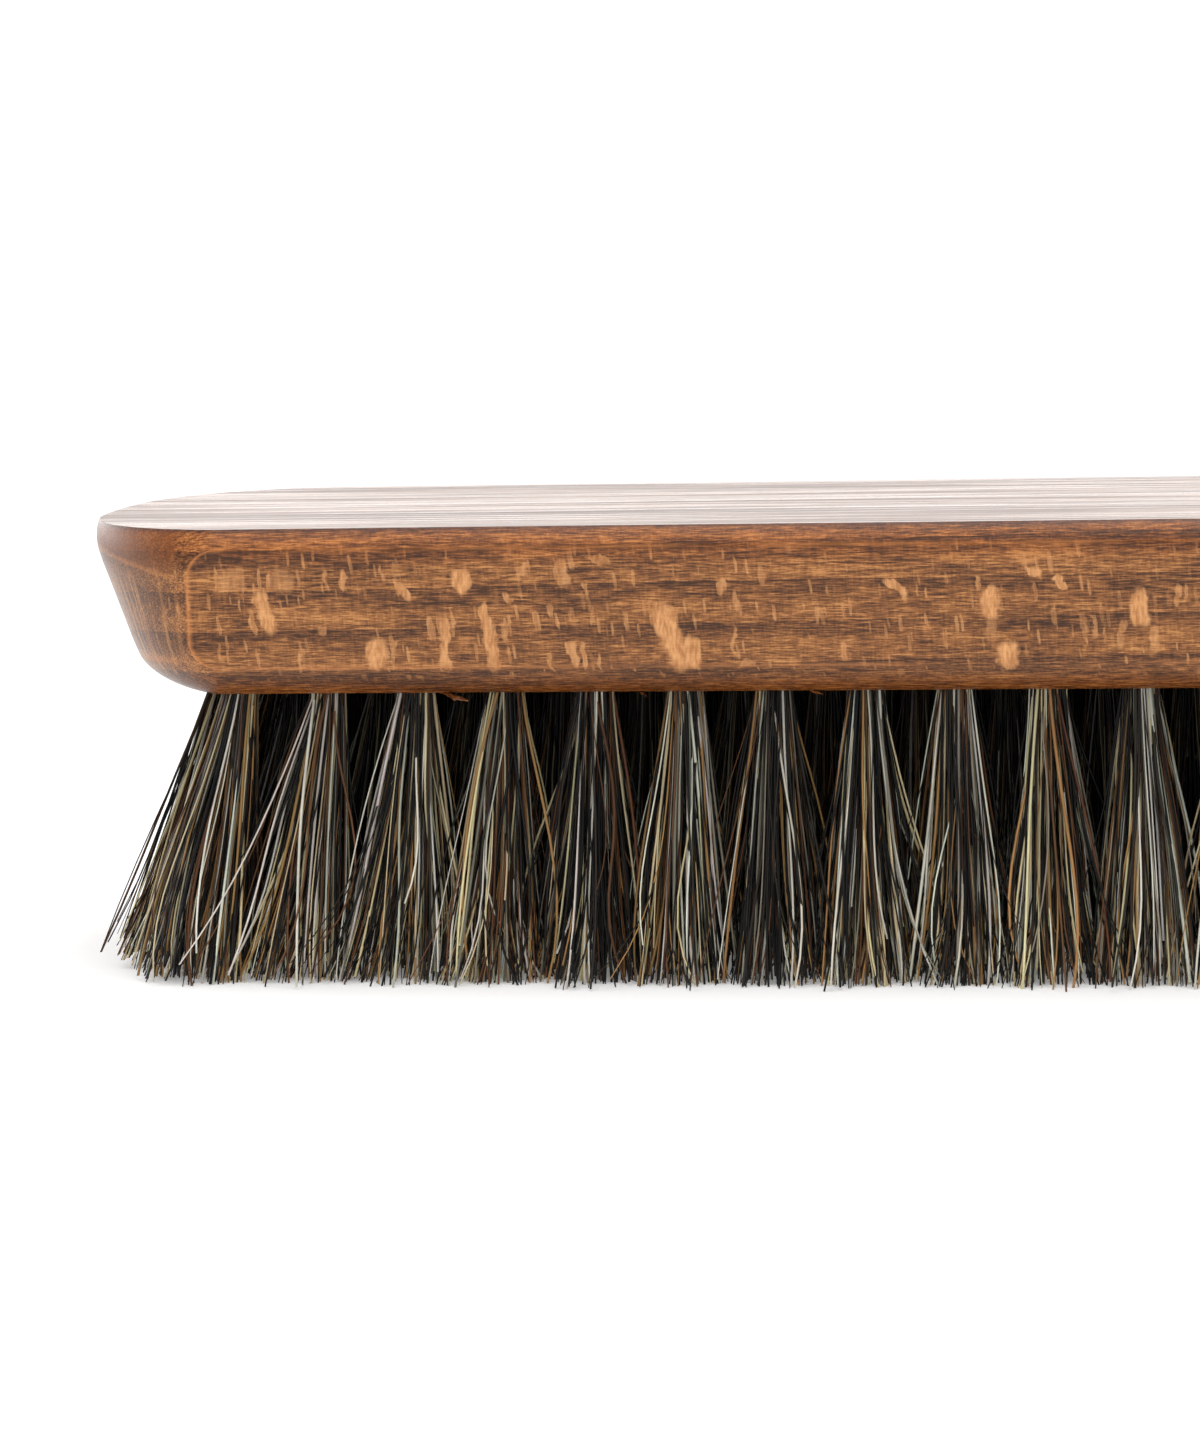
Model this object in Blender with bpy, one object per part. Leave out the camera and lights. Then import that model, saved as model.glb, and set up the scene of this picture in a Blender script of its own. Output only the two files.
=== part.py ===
"""Oblong bristle brush: a one-piece beech block filled with tufts of horsehair.

The block has rounded, undercut ends and long sides planed flat. Its underside is drilled with blind holes
in staggered rows, and each hole holds one tuft, which flares from its root to its trimmed tips.

Frame, in metres: +X along the brush, +Y across it, +Z up. The origin lies under the middle of the block,
on the plane of the bristle tips.
"""
import math

import bmesh
import bpy

# Block
BLOCK_WIDTH = 0.055
BLOCK_THICKNESS = 0.016
BRISTLE_LENGTH = 0.028

# Tufts: rows across the brush, and places along a row
ROW_COUNT = 7
ROW_SPACING = 0.0074
OUTER_ROW_TUFTS = 20
TUFT_PITCH = 0.0087
OUTER_ROW_INSET = 0.0177
END_TUFT_SET_IN = 0.00135
TUFT_RADIUS = 0.00195
TUFT_SIDES = 8
HOLE_DEPTH = 0.010
FIT_GAP = 0.0003

BLOCK_LENGTH = (OUTER_ROW_TUFTS - 1) * TUFT_PITCH + 2 * OUTER_ROW_INSET
HALF_LENGTH = BLOCK_LENGTH / 2
HALF_WIDTH = BLOCK_WIDTH / 2
HALF_TURN_OF_SIDE = math.pi / TUFT_SIDES
HOLE_RADIUS = TUFT_RADIUS + FIT_GAP / math.cos(HALF_TURN_OF_SIDE)

# Rounded ends of the block, in plan: a superellipse from the straight sides to the tip of the end
END_LENGTH = 0.0165
END_POWER = 1.57
SIDE_POWER = 2.8
QUARTER_STEPS = 9

# Profile of the ends: a small round at the top, an undercut slope and a large round at the underside
END_TOP_DEPTH = 0.0023
END_TOP_INSET = 0.0004
END_UNDERCUT = math.radians(22.4)
END_HEEL_DEPTH = 0.0031
END_HEEL_INSET = 0.0056
END_ROUND_POWER = 2.0

# Profile of the sides: softly rounded, then planed flat down to the block's width
SIDE_TOP_DEPTH = 0.0042
SIDE_TOP_INSET = 0.0017
SIDE_HEEL_DEPTH = 0.0050
SIDE_HEEL_INSET = 0.0036
SIDE_ROUND_POWER = 1.5
PLANED_OFF_TOP = 0.0004
PLANED_OFF_HEEL = 0.00086
ROUND_STEPS = 6

# Flare of the tufts: an end tuft leans out, and the lean fades from one tuft to the next. The outer rows
# lean less, so the tips fan out round the block's rounded ends.
END_LEAN = 0.0102
OUTER_ROW_LEAN_LOSS = 0.40
LEAN_FADE = 0.72
TIP_END_INSET = 0.0010
TIP_SIDE_INSET = 0.0001
TIP_MERGE = 0.00055
OCTAGON_CORNER = math.tan(HALF_TURN_OF_SIDE)
TIP_CORNER = 0.62

CUTTER_MARGIN = 0.002


def clear_scene():
    for item in list(bpy.data.objects):
        bpy.data.objects.remove(item, do_unlink=True)


def make_material(name, color, roughness):
    material = bpy.data.materials.new(name)
    material.use_nodes = True
    shader = material.node_tree.nodes["Principled BSDF"]
    shader.inputs["Base Color"].default_value = (*color, 1.0)
    shader.inputs["Roughness"].default_value = roughness
    shader.inputs["Metallic"].default_value = 0.0
    return material


def make_object(name, rings_list, material=None):
    """One mesh object made of a closed tube for each stack of rings, lowest ring first."""
    mesh = bpy.data.meshes.new(name)
    built = bmesh.new()
    for rings in rings_list:
        loops = [[built.verts.new(point) for point in ring] for ring in rings]
        for low, high in zip(loops, loops[1:]):
            for index in range(len(low)):
                following = (index + 1) % len(low)
                built.faces.new((low[index], low[following], high[following], high[index]))
        built.faces.new(reversed(loops[0]))
        built.faces.new(loops[-1])
    built.to_mesh(mesh)
    built.free()
    item = bpy.data.objects.new(name, mesh)
    bpy.context.scene.collection.objects.link(item)
    if material is not None:
        mesh.materials.append(material)
    return item


def make_cutter(name, rings_list):
    cutter = make_object(name, rings_list)
    cutter.hide_render = True
    cutter.display_type = "WIRE"
    return cutter


def add_boolean(item, cutter, operation):
    modifier = item.modifiers.new(cutter.name, "BOOLEAN")
    modifier.operation = operation
    modifier.solver = "EXACT"
    modifier.object = cutter


# The block

def edge_round(distance, depth, inset, power):
    """How far a rounded edge steps inwards, at a distance from its face. It is nothing at its full depth."""
    remaining = max(0.0, 1.0 - distance / depth)
    return inset * (1.0 - (1.0 - remaining ** power) ** (1.0 / power))


def end_inset(height):
    """How far the tip of an end lies inside the block's full length, at a height above its underside."""
    below_top = BLOCK_THICKNESS - height
    slope = max(0.0, below_top - END_TOP_DEPTH) * math.tan(END_UNDERCUT)
    top = edge_round(below_top, END_TOP_DEPTH, END_TOP_INSET, END_ROUND_POWER)
    heel = edge_round(height, END_HEEL_DEPTH, END_HEEL_INSET, END_ROUND_POWER)
    return top + slope + heel


def rounded_half_width(height):
    """Half the block's width before its sides are planed, at a height above its underside."""
    below_top = BLOCK_THICKNESS - height
    planed_off = PLANED_OFF_TOP + (PLANED_OFF_HEEL - PLANED_OFF_TOP) * below_top / BLOCK_THICKNESS
    top = edge_round(below_top, SIDE_TOP_DEPTH, SIDE_TOP_INSET, SIDE_ROUND_POWER)
    heel = edge_round(height, SIDE_HEEL_DEPTH, SIDE_HEEL_INSET, SIDE_ROUND_POWER)
    return HALF_WIDTH + planed_off - top - heel


def block_ring(height):
    """The block's outline at a height above its underside, anticlockwise from the tip of the +X end."""
    reach = END_LENGTH - end_inset(height)
    half = rounded_half_width(height)
    quarter = []
    for step in range(QUARTER_STEPS + 1):
        turn = 0.5 * math.pi * (1.0 - step / QUARTER_STEPS)
        x = HALF_LENGTH - END_LENGTH + reach * math.sin(turn) ** (2.0 / END_POWER)
        y = half * max(0.0, math.cos(turn)) ** (2.0 / SIDE_POWER)
        quarter.append((x, y))
    left = [(-x, y) for x, y in reversed(quarter[1:])]
    half_plan = quarter + left
    other_half = [(-x, -y) for x, y in half_plan]
    z = BRISTLE_LENGTH + height
    return [(x, y, z) for x, y in half_plan + other_half]


def level_heights():
    """Heights of the block's outlines, close together where its edges are rounded."""
    heights = []
    for step in range(ROUND_STEPS + 1):
        heights.append(SIDE_HEEL_DEPTH * (1.0 - math.cos(0.5 * math.pi * step / ROUND_STEPS)))
    for step in reversed(range(ROUND_STEPS + 1)):
        depth = SIDE_TOP_DEPTH * (1.0 - math.cos(0.5 * math.pi * step / ROUND_STEPS))
        heights.append(BLOCK_THICKNESS - depth)
    return heights


def make_block(rows, material):
    block = make_object("brush_block", [[block_ring(height) for height in level_heights()]], material)

    low = BRISTLE_LENGTH - CUTTER_MARGIN
    high = BRISTLE_LENGTH + BLOCK_THICKNESS + CUTTER_MARGIN
    length = HALF_LENGTH + CUTTER_MARGIN
    corners = ((-length, -HALF_WIDTH), (length, -HALF_WIDTH), (length, HALF_WIDTH), (-length, HALF_WIDTH))
    plane_box = [[(x, y, z) for x, y in corners] for z in (low, high)]
    add_boolean(block, make_cutter("planed_sides", [plane_box]), "INTERSECT")

    holes = []
    for y, places in rows:
        for x in places:
            holes.append([
                octagon(x, y, low, HOLE_RADIUS),
                octagon(x, y, BRISTLE_LENGTH + HOLE_DEPTH, HOLE_RADIUS),
            ])
    add_boolean(block, make_cutter("drilled_holes", holes), "DIFFERENCE")


# The tufts

def eight_corners(x_low, x_high, y_low, y_high, z, corner):
    """An eight-sided outline in a rectangle. Each side keeps the fraction corner of its edge."""
    x_mid = (x_low + x_high) / 2
    y_mid = (y_low + y_high) / 2
    x_half = (x_high - x_low) / 2
    y_half = (y_high - y_low) / 2
    signs = (
        (1, corner), (corner, 1), (-corner, 1), (-1, corner),
        (-1, -corner), (-corner, -1), (corner, -1), (1, -corner),
    )
    return [(x_mid + x_half * sx, y_mid + y_half * sy, z) for sx, sy in signs]


def octagon(x, y, z, radius):
    """A regular eight-sided outline whose corners lie on a circle."""
    flat = radius * math.cos(HALF_TURN_OF_SIDE)
    return eight_corners(x - flat, x + flat, y - flat, y + flat, z, OCTAGON_CORNER)


def row_places():
    """Each row's place across the brush, and its tufts' places along it. Every second row is staggered and
    has one tuft more. The end tufts of these longer rows are set in from the rounded ends."""
    rows = []
    for row in range(ROW_COUNT):
        y = (row - (ROW_COUNT - 1) / 2) * ROW_SPACING
        longer = row % 2
        count = OUTER_ROW_TUFTS + longer
        first = -(count - 1) / 2 * TUFT_PITCH
        places = [first + index * TUFT_PITCH for index in range(count)]
        places[0] += longer * END_TUFT_SET_IN
        places[-1] -= longer * END_TUFT_SET_IN
        rows.append((y, places))
    return rows


def tip_borders(places, y):
    """Where a row's tufts meet along X at their tips. The tufts near each end lean outwards."""
    borders = [places[0] - TUFT_PITCH / 2] + [place + TUFT_PITCH / 2 for place in places]
    last = len(borders) - 1
    outermost = (ROW_COUNT - 1) / 2 * ROW_SPACING
    end_lean = END_LEAN * (1.0 - OUTER_ROW_LEAN_LOSS * (y / outermost) ** 2)
    limit = HALF_LENGTH - TIP_END_INSET
    leaning = []
    for index, border in enumerate(borders):
        lean = end_lean * (LEAN_FADE ** (last - index) - LEAN_FADE ** index)
        leaning.append(max(-limit, min(limit, border + lean)))
    return leaning


def row_tip_sides(y):
    """The Y limits of a row's tips. The outer rows lean out as far as the block's sides."""
    low = y - (ROW_SPACING - FIT_GAP) / 2
    high = y + (ROW_SPACING - FIT_GAP) / 2
    outermost = (ROW_COUNT - 1) / 2 * ROW_SPACING
    if math.isclose(y, -outermost):
        low = -HALF_WIDTH + TIP_SIDE_INSET
    if math.isclose(y, outermost):
        high = HALF_WIDTH - TIP_SIDE_INSET
    return low, high


def tuft_rings(x, y, tip_low, tip_high):
    """A tuft's outlines: its tips, its root at the mouth of the hole, and its folded end inside the hole."""
    y_low, y_high = row_tip_sides(y)
    return [
        eight_corners(tip_low, tip_high, y_low, y_high, 0.0, TIP_CORNER),
        octagon(x, y, BRISTLE_LENGTH, TUFT_RADIUS),
        octagon(x, y, BRISTLE_LENGTH + HOLE_DEPTH - FIT_GAP, TUFT_RADIUS),
    ]


def make_separate_row(name, y, places, material):
    """An outer row: each tuft is an object of its own and stops short of its neighbours."""
    borders = tip_borders(places, y)
    for index, x in enumerate(places):
        low = borders[index] + FIT_GAP / 2
        high = borders[index + 1] - FIT_GAP / 2
        make_object(f"{name}_{index + 1:02d}", [tuft_rings(x, y, low, high)], material)


def make_joined_row(name, y, places, material):
    """An inner row: its tufts run into each other near their tips and form one body."""
    borders = tip_borders(places, y)
    alternate = ([], [])
    for index, x in enumerate(places):
        low = borders[index] - (TIP_MERGE if index > 0 else 0.0)
        high = borders[index + 1] + (TIP_MERGE if index < len(places) - 1 else 0.0)
        alternate[index % 2].append(tuft_rings(x, y, low, high))
    row = make_object(name, alternate[0], material)
    add_boolean(row, make_cutter(f"{name}_other_tufts", alternate[1]), "UNION")


def build():
    clear_scene()
    beech = make_material("stained_beech", (0.20, 0.075, 0.025), 0.35)
    horsehair = make_material("horsehair", (0.045, 0.036, 0.030), 0.55)
    rows = row_places()
    make_block(rows, beech)
    for number, (y, places) in enumerate(rows, start=1):
        if number == 1:
            make_separate_row("front_tuft", y, places, horsehair)
        elif number == ROW_COUNT:
            make_separate_row("rear_tuft", y, places, horsehair)
        else:
            make_joined_row(f"tuft_row_{number}", y, places, horsehair)


build()
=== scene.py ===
"""Looks of the oblong horsehair brush: its stained beech block, hair tufts, wire anchors, light and camera.

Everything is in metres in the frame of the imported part: +X along the brush, +Y across it, +Z up. The wood
material works in mm. Colours are sRGB, 0 to 255, unless they are called linear.
"""

import math

import bpy
import numpy as np
from mathutils import Matrix, Vector


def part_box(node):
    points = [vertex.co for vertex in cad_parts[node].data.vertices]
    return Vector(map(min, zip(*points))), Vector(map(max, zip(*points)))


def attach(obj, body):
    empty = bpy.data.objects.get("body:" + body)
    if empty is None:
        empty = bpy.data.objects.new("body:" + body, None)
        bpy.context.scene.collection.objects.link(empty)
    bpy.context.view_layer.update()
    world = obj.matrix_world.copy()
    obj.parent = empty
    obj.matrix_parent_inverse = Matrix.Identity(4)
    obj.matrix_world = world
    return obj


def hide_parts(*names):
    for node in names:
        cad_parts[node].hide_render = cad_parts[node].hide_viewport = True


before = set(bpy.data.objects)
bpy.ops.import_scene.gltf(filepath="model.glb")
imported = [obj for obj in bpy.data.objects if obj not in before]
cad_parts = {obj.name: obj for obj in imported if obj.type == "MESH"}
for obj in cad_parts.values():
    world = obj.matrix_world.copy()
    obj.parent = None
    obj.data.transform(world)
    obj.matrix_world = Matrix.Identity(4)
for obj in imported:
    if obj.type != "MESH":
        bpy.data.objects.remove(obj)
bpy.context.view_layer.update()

MM = 0.001
UNDERSIDE, TOP = (corner.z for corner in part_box("brush_block"))
THICKNESS = TOP - UNDERSIDE
HALF_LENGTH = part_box("brush_block")[1].x
HALF_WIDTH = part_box("brush_block")[1].y

# Block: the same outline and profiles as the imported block, on a finer mesh
END_LENGTH = 16.5 * MM
END_POWER = 1.57
SIDE_POWER = 2.8
END_TOP_DEPTH = 2.3 * MM
END_TOP_INSET = 0.4 * MM
END_UNDERCUT = math.radians(22.4)
END_HEEL_DEPTH = 3.1 * MM
END_HEEL_INSET = 5.6 * MM
END_ROUND_POWER = 2.0
END_BLEND = 0.45 * MM
TOP_SKIM = 0.10 * MM
SIDE_TOP_DEPTH = 4.2 * MM
SIDE_TOP_INSET = 1.7 * MM
SIDE_HEEL_DEPTH = 5.0 * MM
SIDE_HEEL_INSET = 3.6 * MM
SIDE_ROUND_POWER = 1.5
PLANED_OFF_TOP = 0.4 * MM
PLANED_OFF_HEEL = 0.86 * MM

# Block: how fine its mesh is, and how its creases are worn
END_STEPS = 40
END_STEP_POWER = 1.35
FLAT_OFFSETS = [step * MM for step in (0.15, 0.4, 0.9, 2.0, 5.0, 12.0, 30.0, 60.0)]
HEEL_STEPS = 16
TOP_STEPS = 14
WAIST_STEPS = 14
CREASE_MARGINS = [step * MM for step in (-0.5, -0.2, 0.0, 0.2, 0.5)]
CREASE_CLEARANCE = 0.06 * MM
CREASE_HALVINGS = 40
PLANED_TOLERANCE = 0.01 * MM
WEAR_WIDTH = 0.17 * MM
FAR_FROM_CREASE = 1.0
BLOCK_SHARP_ANGLE = 38
FLAT_NORMAL = 0.9999

# Holes, and the tufts in them
ROOT_RADIUS = 1.95 * MM
HOLE_RADIUS = 2.25 * MM
HOLE_DEPTH = 10.0 * MM
HOLE_SIDES = 20
DRILL_OVERSHOOT = 1.0 * MM
TUFT_GAP = 2.0 * MM
END_LEAN = 10.2 * MM
OUTER_ROW_LEAN_LOSS = 0.40
LEAN_FADE = 0.72


# Shared helpers

def new_object(name, vertices, faces):
    mesh = bpy.data.meshes.new(name)
    mesh.from_pydata([tuple(v) for v in vertices], [], [tuple(f) for f in faces])
    mesh.validate()
    item = bpy.data.objects.new(name, mesh)
    bpy.context.scene.collection.objects.link(item)
    return item


def tube_faces(base, rings, sides):
    """Faces that join rings of points into a closed tube. The points start at base, ring after ring."""
    faces = [tuple(base + side for side in reversed(range(sides)))]
    for ring in range(rings - 1):
        low = base + ring * sides
        for side in range(sides):
            following = (side + 1) % sides
            faces.append((low + side, low + following, low + sides + following, low + sides + side))
    last = base + (rings - 1) * sides
    faces.append(tuple(last + side for side in range(sides)))
    return faces


def smooth(item, sharp_angle):
    item.data.shade_smooth()
    item.data.set_sharp_from_angle(angle=math.radians(sharp_angle))


def add_values(mesh, name, values):
    """Stores one number for each vertex under a name that a material reads."""
    layer = mesh.attributes.new(name, "FLOAT", "POINT")
    layer.data.foreach_set("value", np.asarray(values, np.float32))


def linear(red, green, blue):
    """An sRGB colour, 0 to 255, as the linear values that shaders use."""
    channels = [channel / 255 for channel in (red, green, blue)]
    return tuple(c / 12.92 if c <= 0.04045 else ((c + 0.055) / 1.055) ** 2.4 for c in channels)


class Nodes:
    """A node tree being built. Most methods add a node and return one of its outputs."""

    def __init__(self, tree):
        self.tree = tree

    def feed(self, socket, value):
        if isinstance(value, bpy.types.NodeSocket):
            self.tree.links.new(value, socket)
        else:
            socket.default_value = value

    def add(self, kind, settings=None, **inputs):
        """Adds a node, and returns the node itself."""
        made = self.tree.nodes.new("ShaderNode" + kind)
        for key, value in (settings or {}).items():
            setattr(made, key, value)
        for key, value in inputs.items():
            self.feed(made.inputs[key.replace("_", " ")], value)
        return made

    def node(self, kind, settings=None, output=0, **inputs):
        return self.add(kind, settings, **inputs).outputs[output]

    def calculate(self, kind, operation, values, output=0):
        made = self.add(kind, {"operation": operation})
        for socket, value in zip(made.inputs, values):
            self.feed(socket, value)
        return made.outputs[output]

    def math(self, operation, *values):
        return self.calculate("Math", operation, values)

    def vector_math(self, operation, *values, output=0):
        return self.calculate("VectorMath", operation, values, output)

    def product(self, *values):
        total = values[0]
        for value in values[1:]:
            total = self.math("MULTIPLY", total, value)
        return total

    def swing(self, pattern, amount, middle):
        """The middle value, moved up and down by a pattern about 0.5."""
        return self.math("MULTIPLY_ADD", self.math("SUBTRACT", pattern, 0.5), amount, middle)

    def between(self, factor, low, high):
        """The low value where the factor is 0, and the high one where it is 1."""
        return self.math("MULTIPLY_ADD", factor, high - low, low)

    def scaled(self, vector, scale):
        return self.vector_math("MULTIPLY", vector, scale)

    def combine(self, x, y, z):
        return self.node("CombineXYZ", X=x, Y=y, Z=z)

    def separate(self, vector):
        return self.add("SeparateXYZ", Vector=vector).outputs

    def noise(self, vector, detail=2.0, roughness=0.5, output=0):
        made = self.add("TexNoise", Vector=vector, Scale=1.0, Detail=detail, Roughness=roughness)
        return made.outputs[output]

    def step(self, value, low, high):
        """0 below low, 1 above high, smooth between. With low above high it falls instead."""
        rising = low < high
        return self.node("MapRange", {"interpolation_type": "SMOOTHSTEP"}, Value=value,
                         From_Min=min(low, high), From_Max=max(low, high),
                         To_Min=0.0 if rising else 1.0, To_Max=1.0 if rising else 0.0)

    def band(self, value, start, full_start, full_end, end):
        """1 between the two full values, 0 before start and after end, smooth between."""
        return self.product(self.step(value, start, full_start), self.step(value, end, full_end))

    def mix(self, factor, first, second, blend="MIX"):
        made = self.add("Mix", {"data_type": "RGBA", "blend_type": blend})
        self.feed(made.inputs[0], factor)
        for socket, value in ((made.inputs[6], first), (made.inputs[7], second)):
            self.feed(socket, value if isinstance(value, bpy.types.NodeSocket) else (*value, 1.0))
        return made.outputs[2]

    def tinted(self, color, mask, tint, blend="MIX"):
        """The colour, mixed where the mask is 1 with a tint: an sRGB colour and how much of it."""
        tint_color, strength = tint
        return self.mix(self.product(mask, strength), color, linear(*tint_color), blend)


class Shader(Nodes):
    """A material being built, with a Principled BSDF as its surface."""

    def __init__(self, name):
        self.material = bpy.data.materials.new(name)
        self.material.use_nodes = True
        super().__init__(self.material.node_tree)
        self.surface = self.tree.nodes["Principled BSDF"]

    def feed_surface(self, **inputs):
        for key, value in inputs.items():
            self.feed(self.surface.inputs[key.replace("_", " ")], value)


# The block

def edge_round(distance, depth, inset, power):
    """How far a rounded edge steps inwards, at a distance from its face. It is nothing at its full depth."""
    remaining = max(0.0, 1.0 - distance / depth)
    return inset * (1.0 - (1.0 - remaining ** power) ** (1.0 / power))


def end_inset(height):
    below_top = THICKNESS - height
    share = (below_top - END_TOP_DEPTH) / END_BLEND
    slope = END_BLEND * math.log1p(math.exp(share)) * math.tan(END_UNDERCUT)
    top = edge_round(below_top + TOP_SKIM, END_TOP_DEPTH, END_TOP_INSET, END_ROUND_POWER)
    heel = edge_round(height, END_HEEL_DEPTH, END_HEEL_INSET, END_ROUND_POWER)
    return top + slope + heel


def rounded_half_width(height):
    below_top = THICKNESS - height
    planed_off = PLANED_OFF_TOP + (PLANED_OFF_HEEL - PLANED_OFF_TOP) * below_top / THICKNESS
    top = edge_round(below_top + TOP_SKIM, SIDE_TOP_DEPTH, SIDE_TOP_INSET, SIDE_ROUND_POWER)
    heel = edge_round(height, SIDE_HEEL_DEPTH, SIDE_HEEL_INSET, SIDE_ROUND_POWER)
    return HALF_WIDTH + planed_off - top - heel


def crease_height(low, high):
    """The height where the rounded side meets the planed side, found by halving."""
    inside_low = rounded_half_width(low) > HALF_WIDTH
    for _ in range(CREASE_HALVINGS):
        middle = (low + high) / 2
        if (rounded_half_width(middle) > HALF_WIDTH) == inside_low:
            low = middle
        else:
            high = middle
    return (low + high) / 2


HEEL_CREASE = crease_height(0.0, SIDE_HEEL_DEPTH)
TOP_CREASE = crease_height(THICKNESS - SIDE_TOP_DEPTH, THICKNESS)


def level_heights():
    """Heights of the block's outlines, close together at its rounded edges and creases."""
    heights = []
    for step in range(HEEL_STEPS + 1):
        heights.append(SIDE_HEEL_DEPTH * (1.0 - math.cos(0.5 * math.pi * step / HEEL_STEPS)))
    for step in range(TOP_STEPS + 1):
        depth = SIDE_TOP_DEPTH * (1.0 - math.cos(0.5 * math.pi * step / TOP_STEPS))
        heights.append(THICKNESS - depth)
    waist = THICKNESS - SIDE_TOP_DEPTH - SIDE_HEEL_DEPTH
    for step in range(1, WAIST_STEPS):
        heights.append(SIDE_HEEL_DEPTH + waist * step / WAIST_STEPS)
    creases = [crease + margin for crease in (HEEL_CREASE, TOP_CREASE) for margin in CREASE_MARGINS]
    kept = [h for h in heights if min(abs(h - c) for c in creases) > CREASE_CLEARANCE]
    return sorted(kept + creases)


def block_ring(height):
    """The outline at a height, as points anticlockwise from the tip of the +X end, and how near each point
    is to a crease. One point of each quarter stays on the crease between the end and the planed side."""
    reach = END_LENGTH - end_inset(height)
    half = rounded_half_width(height)
    planed = min(1.0, HALF_WIDTH / half)
    crease_turn = math.acos(planed ** (SIDE_POWER / 2.0))
    quarter = []
    for step in range(END_STEPS + 1):
        share = 1.0 - (1.0 - step / END_STEPS) ** END_STEP_POWER
        turn = 0.5 * math.pi + (crease_turn - 0.5 * math.pi) * share
        x = HALF_LENGTH - END_LENGTH + reach * math.sin(turn) ** (2.0 / END_POWER)
        y = half * max(0.0, math.cos(turn)) ** (2.0 / SIDE_POWER)
        quarter.append((x, min(y, HALF_WIDTH)))
    crease_x, side = quarter[-1]
    quarter += [(crease_x - offset, side) for offset in FLAT_OFFSETS]

    faceted = half > HALF_WIDTH - PLANED_TOLERANCE
    to_level_crease = min(abs(height - HEEL_CREASE), abs(height - TOP_CREASE))
    wear = []
    for x, y in quarter:
        along = abs(x - crease_x) if faceted else FAR_FROM_CREASE
        upright = to_level_crease if x <= crease_x else FAR_FROM_CREASE
        wear.append(math.exp(-(min(along, upright) / WEAR_WIDTH) ** 2))
    left = [(-x, y) for x, y in reversed(quarter)][:-1]
    half_plan = quarter + left
    half_wear = wear + wear[::-1][:-1]
    points = [(x, y, UNDERSIDE + height) for x, y in half_plan]
    points += [(-x, -y, z) for x, y, z in points]
    return points, half_wear * 2


def root_places(node):
    """Centres of a CAD node's tufts, read from the ends that sit in the holes."""
    ends = [v.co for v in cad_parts[node].data.vertices if v.co.z > UNDERSIDE + HOLE_DEPTH / 2]
    ends.sort(key=lambda co: co.x)
    groups = [[ends[0]]]
    for co in ends[1:]:
        if co.x - groups[-1][-1].x > TUFT_GAP:
            groups.append([])
        groups[-1].append(co)
    places = []
    for group in groups:
        x = (min(co.x for co in group) + max(co.x for co in group)) / 2
        y = (min(co.y for co in group) + max(co.y for co in group)) / 2
        places.append((x, y))
    return places


def tuft_rows():
    """Each row of tufts, from front to rear: its tufts' places in order of x, each with its CAD node."""
    rows = {}
    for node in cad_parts:
        if node == "brush_block":
            continue
        for place in root_places(node):
            rows.setdefault(round(place[1] / MM, 1), []).append((place, node))
    return [sorted(rows[key]) for key in sorted(rows)]


ROWS = tuft_rows()


def make_block():
    rings, wears = zip(*[block_ring(height) for height in level_heights()])
    vertices = [point for ring in rings for point in ring]
    block = new_object("beech_block", vertices, tube_faces(0, len(rings), len(rings[0])))
    add_values(block.data, "wear", [value for wear in wears for value in wear])
    return block


def drill(block):
    """Cuts the blind holes, all with one cutter, and keeps the result as the block's mesh."""
    vertices = []
    faces = []
    for row in ROWS:
        for (x, y), _ in row:
            faces += tube_faces(len(vertices), 2, HOLE_SIDES)
            for z in (UNDERSIDE - DRILL_OVERSHOOT, UNDERSIDE + HOLE_DEPTH):
                for side in range(HOLE_SIDES):
                    angle = 2 * math.pi * side / HOLE_SIDES
                    vertices.append((x + HOLE_RADIUS * math.cos(angle), y + HOLE_RADIUS * math.sin(angle), z))
    drills = new_object("drills", vertices, faces)
    cut = block.modifiers.new("holes", "BOOLEAN")
    cut.operation = "DIFFERENCE"
    cut.solver = "EXACT"
    cut.object = drills
    bpy.context.view_layer.update()
    result = bpy.data.meshes.new_from_object(block.evaluated_get(bpy.context.evaluated_depsgraph_get()))
    block.modifiers.clear()
    block.data = result
    bpy.data.objects.remove(drills)


def finish_block(block, material):
    smooth(block, BLOCK_SHARP_ANGLE)
    for face in block.data.polygons:
        face.use_smooth = abs(face.normal.z) < FLAT_NORMAL
    block.data.materials.clear()
    block.data.materials.append(material)
    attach(block, "root")
    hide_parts("brush_block")


# The wood

# Its places, in mm: the block's limits, and the pith that the growth rings lie about
UNDERSIDE_MM = UNDERSIDE / MM
TOP_MM = TOP / MM
END_MM = HALF_LENGTH / MM
PITH_Y = -27.0
PITH_Z = -46.0
ARC_RADIUS = 90.0

# Growth rings: where one starts, their width, and how they wander and tilt. Late wood and the line at a
# ring's end each have a band in the ring, from 0 at its start to 1 at its end, and darken the tone there.
RING_START = 85.55
RING_WIDTH = 3.85
WANDER_CYCLES = (0.02, 0.05, 0.08)
WANDER = 0.9
RING_TILT = -0.011
LATE_WOOD_BAND = (0.30, 0.97, 0.975, 1.0)
LATE_WOOD = -0.27
RING_LINE_BAND = (0.93, 0.975, 0.98, 1.0)
RING_LINE = -0.10

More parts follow.
